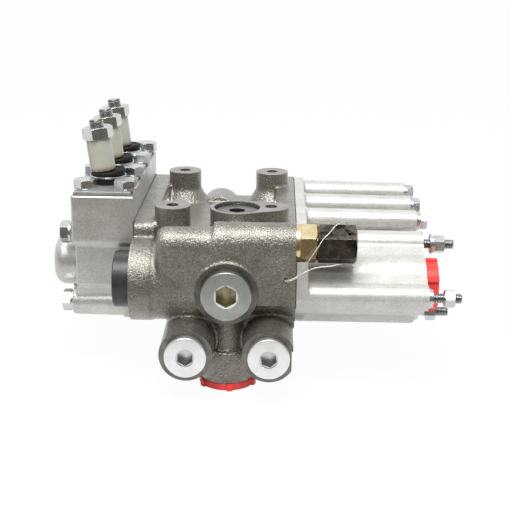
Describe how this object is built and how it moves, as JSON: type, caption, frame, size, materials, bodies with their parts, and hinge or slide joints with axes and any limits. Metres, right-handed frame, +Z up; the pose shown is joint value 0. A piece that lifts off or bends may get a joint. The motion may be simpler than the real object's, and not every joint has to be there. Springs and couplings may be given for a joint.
{
  "type": "hydraulic control valve",
  "caption": "Tractor spool valve lying on its port caps: cast body, lever cover with sprung hand levers, spring cover, sealed relief valve and screw plugs.",
  "frame": {"origin": "centre of the rectangle of four mounting holes, on the faces of the mounting bosses", "axes": "+X along the spools from the lever cover to the spring cover, +Y from the relief valve's side to the rear, +Z up out of the mounting faces"},
  "size_m": [0.328, 0.2455, 0.2013],
  "materials": {
    "cast_iron": "bare sand-cast surface with machined faces",
    "cast_aluminium": "fine-grained die-cast surface",
    "zinc_plate": "bright zinc plating",
    "gasket_paper": "dark gasket sheet",
    "black_steel": "black oxide",
    "brass": "machined brass",
    "ground_steel": "ground and turned",
    "spring_steel": "drawn wire",
    "lever_nut_zinc": "bright zinc plating",
    "sleeve_plastic": "cream moulded plastic",
    "boot_rubber": "black moulded rubber",
    "cap_plastic": "moulded red plastic",
    "seal_wire": "soft stranded wire"
  },
  "bodies": {
    "housing": {"valve_body": "cast_iron", "lever_cover": "cast_aluminium", "spring_cover": "cast_aluminium", "lever_cover_gasket": "gasket_paper", "spring_cover_gasket": "gasket_paper", "boot_plate": "zinc_plate", "plate_gasket": "gasket_paper", "plate_bolts": "zinc_plate", "plate_washers": "zinc_plate", "lever_cover_bolts": "zinc_plate", "lever_cover_washers": "zinc_plate", "spring_cover_bolts": "zinc_plate", "spring_cover_washers": "zinc_plate", "drain_studs": "zinc_plate", "drain_nuts": "zinc_plate", "drain_washers": "zinc_plate", "inlet_cap": "cap_plastic", "drain_cap": "cap_plastic", "port_caps": "cap_plastic", "centre_plug": "zinc_plate", "lug_plugs": "zinc_plate", "top_plug": "black_steel", "bypass_cap": "black_steel", "bypass_spring": "spring_steel", "relief_body": "brass", "relief_cap": "black_steel", "relief_screw": "ground_steel", "relief_spring": "spring_steel", "seal_wire": "seal_wire", "spring_rest_rings": "ground_steel", "spool_seals": "boot_rubber", "ball_seats": "ground_steel", "ball_retainers": "ground_steel", "boot_rings": "zinc_plate", "boot_1": "boot_rubber", "boot_2": "boot_rubber", "boot_3": "boot_rubber", "spool_spring_1": "spring_steel", "spool_spring_2": "spring_steel", "spool_spring_3": "spring_steel"},
    "spool_body_1": {"spool_1": "ground_steel", "spool_screw_1": "ground_steel", "spring_cup_1": "ground_steel"},
    "lever_body_1": {"lever_1": "ground_steel", "lever_sleeve_1": "sleeve_plastic", "lever_nut_1": "lever_nut_zinc"},
    "spool_body_2": {"spool_2": "ground_steel", "spool_screw_2": "ground_steel", "spring_cup_2": "ground_steel"},
    "lever_body_2": {"lever_2": "ground_steel", "lever_sleeve_2": "sleeve_plastic", "lever_nut_2": "lever_nut_zinc"},
    "spool_body_3": {"spool_3": "ground_steel", "spool_screw_3": "ground_steel", "spring_cup_3": "ground_steel"},
    "lever_body_3": {"lever_3": "ground_steel", "lever_sleeve_3": "sleeve_plastic", "lever_nut_3": "lever_nut_zinc"},
    "bypass_body": {"bypass_poppet": "ground_steel"},
    "relief_poppet_body": {"relief_poppet": "ground_steel"}
  },
  "joints": [
    {"name": "spool_slide_1", "type": "slide", "parent": "housing", "child": "spool_body_1", "axis": [1, 0, 0], "range_m": [-0.008, 0.008], "stiffness_N_per_m": 6000, "deforming": ["spool_spring_1"]},
    {"name": "lever_tilt_1", "type": "hinge", "parent": "housing", "child": "lever_body_1", "pos_m": [-0.096, -0.0375, 0], "axis": [0, 1, 0], "range_deg": [-8.4, 8.4], "deforming": ["boot_1"]},
    {"name": "spool_slide_2", "type": "slide", "parent": "housing", "child": "spool_body_2", "axis": [1, 0, 0], "range_m": [-0.008, 0.008], "stiffness_N_per_m": 6000, "deforming": ["spool_spring_2"]},
    {"name": "lever_tilt_2", "type": "hinge", "parent": "housing", "child": "lever_body_2", "pos_m": [-0.096, 0.0125, 0], "axis": [0, 1, 0], "range_deg": [-8.4, 8.4], "deforming": ["boot_2"]},
    {"name": "spool_slide_3", "type": "slide", "parent": "housing", "child": "spool_body_3", "axis": [1, 0, 0], "range_m": [-0.008, 0.008], "stiffness_N_per_m": 6000, "deforming": ["spool_spring_3"]},
    {"name": "lever_tilt_3", "type": "hinge", "parent": "housing", "child": "lever_body_3", "pos_m": [-0.096, 0.0625, 0], "axis": [0, 1, 0], "range_deg": [-8.4, 8.4], "deforming": ["boot_3"]},
    {"name": "bypass_slide", "type": "slide", "parent": "housing", "child": "bypass_body", "axis": [-1, 0, 0], "range_m": [0, 0.006], "stiffness_N_per_m": 1500, "springref_m": -0.004, "deforming": ["bypass_spring"]},
    {"name": "relief_slide", "type": "slide", "parent": "housing", "child": "relief_poppet_body", "axis": [1, 0, 0], "range_m": [0, 0.002], "stiffness_N_per_m": 5000, "springref_m": -0.001, "deforming": ["relief_spring"]}
  ],
  "couplings": [
    {"joint": "lever_tilt_1", "follows": "spool_slide_1", "rad_per_m": -18.182},
    {"joint": "lever_tilt_2", "follows": "spool_slide_2", "rad_per_m": -18.182},
    {"joint": "lever_tilt_3", "follows": "spool_slide_3", "rad_per_m": -18.182}
  ]
}
